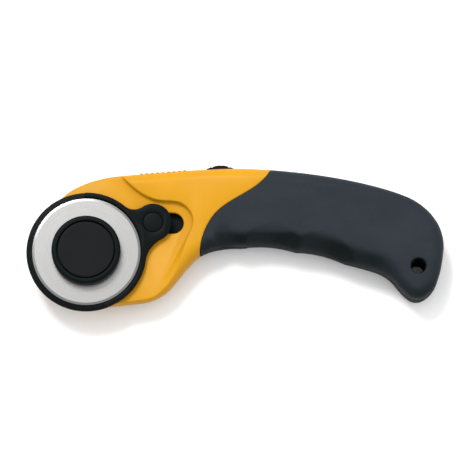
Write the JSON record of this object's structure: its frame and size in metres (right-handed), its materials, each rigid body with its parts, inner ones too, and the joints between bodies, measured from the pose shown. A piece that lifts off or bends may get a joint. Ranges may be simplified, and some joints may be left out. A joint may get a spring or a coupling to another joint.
{
  "type": "rotary cutter",
  "caption": "Hand-held rotary fabric cutter: round blade under a stepped hub, sliding blade guard with thumb slider, two-part shell with a soft scalloped grip and a hanging hole.",
  "frame": {"origin": "on the blade axis, in the plane of the flat back of the lock nut knob, on which the cutter lies", "axes": "+Z along the blade axis towards the blade side; +X from the blade along the handle to the butt; +Y towards the thumb slider edge"},
  "size_m": [0.1738, 0.0622, 0.0226],
  "materials": {
    "shell_yellow": "moulded ABS, satin gloss",
    "soft_grip": "overmoulded TPR, fine matte texture",
    "black_plastic": "moulded black nylon, semi-matte",
    "guard_plastic": "moulded dark grey acetal, satin",
    "blade_steel": "ground tungsten tool steel",
    "zinc_steel": "zinc-plated steel",
    "spring_steel": "spring steel",
    "brass": "turned brass"
  },
  "bodies": {
    "casing": {"front_shell": "shell_yellow", "back_shell": "shell_yellow", "front_grip": "soft_grip", "back_grip": "soft_grip", "blade_bolt": "zinc_steel", "pivot_bush": "zinc_steel", "hub_cap": "black_plastic", "hub_insert": "black_plastic", "detent_spring": "spring_steel", "long_screws": "zinc_steel", "short_screws": "zinc_steel"},
    "guard_carriage": {"blade_guard": "guard_plastic", "guard_pin": "black_plastic", "guard_pin_screw": "zinc_steel", "slide_plate": "black_plastic", "thumb_slider": "black_plastic"},
    "blade": {"rotary_blade": "blade_steel"},
    "nut_carrier": {"wave_washer": "spring_steel"},
    "lock_nut": {"lock_nut_knob": "black_plastic", "nut_insert": "brass"}
  },
  "joints": [
    {"name": "guard_slide", "type": "slide", "parent": "casing", "child": "guard_carriage", "axis": [1, 0, 0], "range_m": [0, 0.00835], "deforming": ["detent_spring"]},
    {"name": "blade_spin", "type": "hinge", "parent": "casing", "child": "blade", "pos_m": [0, 0, 0.0168], "axis": [0, 0, 1], "continuous": true},
    {"name": "nut_travel", "type": "slide", "parent": "casing", "child": "nut_carrier", "axis": [0, 0, -1], "range_m": [0, 0.002]},
    {"name": "nut_turn", "type": "hinge", "parent": "nut_carrier", "child": "lock_nut", "pos_m": [0, 0, 0.003], "axis": [0, 0, -1], "range_deg": [0, 720]}
  ],
  "couplings": [
    {"joint": "nut_travel", "follows": "nut_turn", "m_per_rad": 0.00015915}
  ]
}
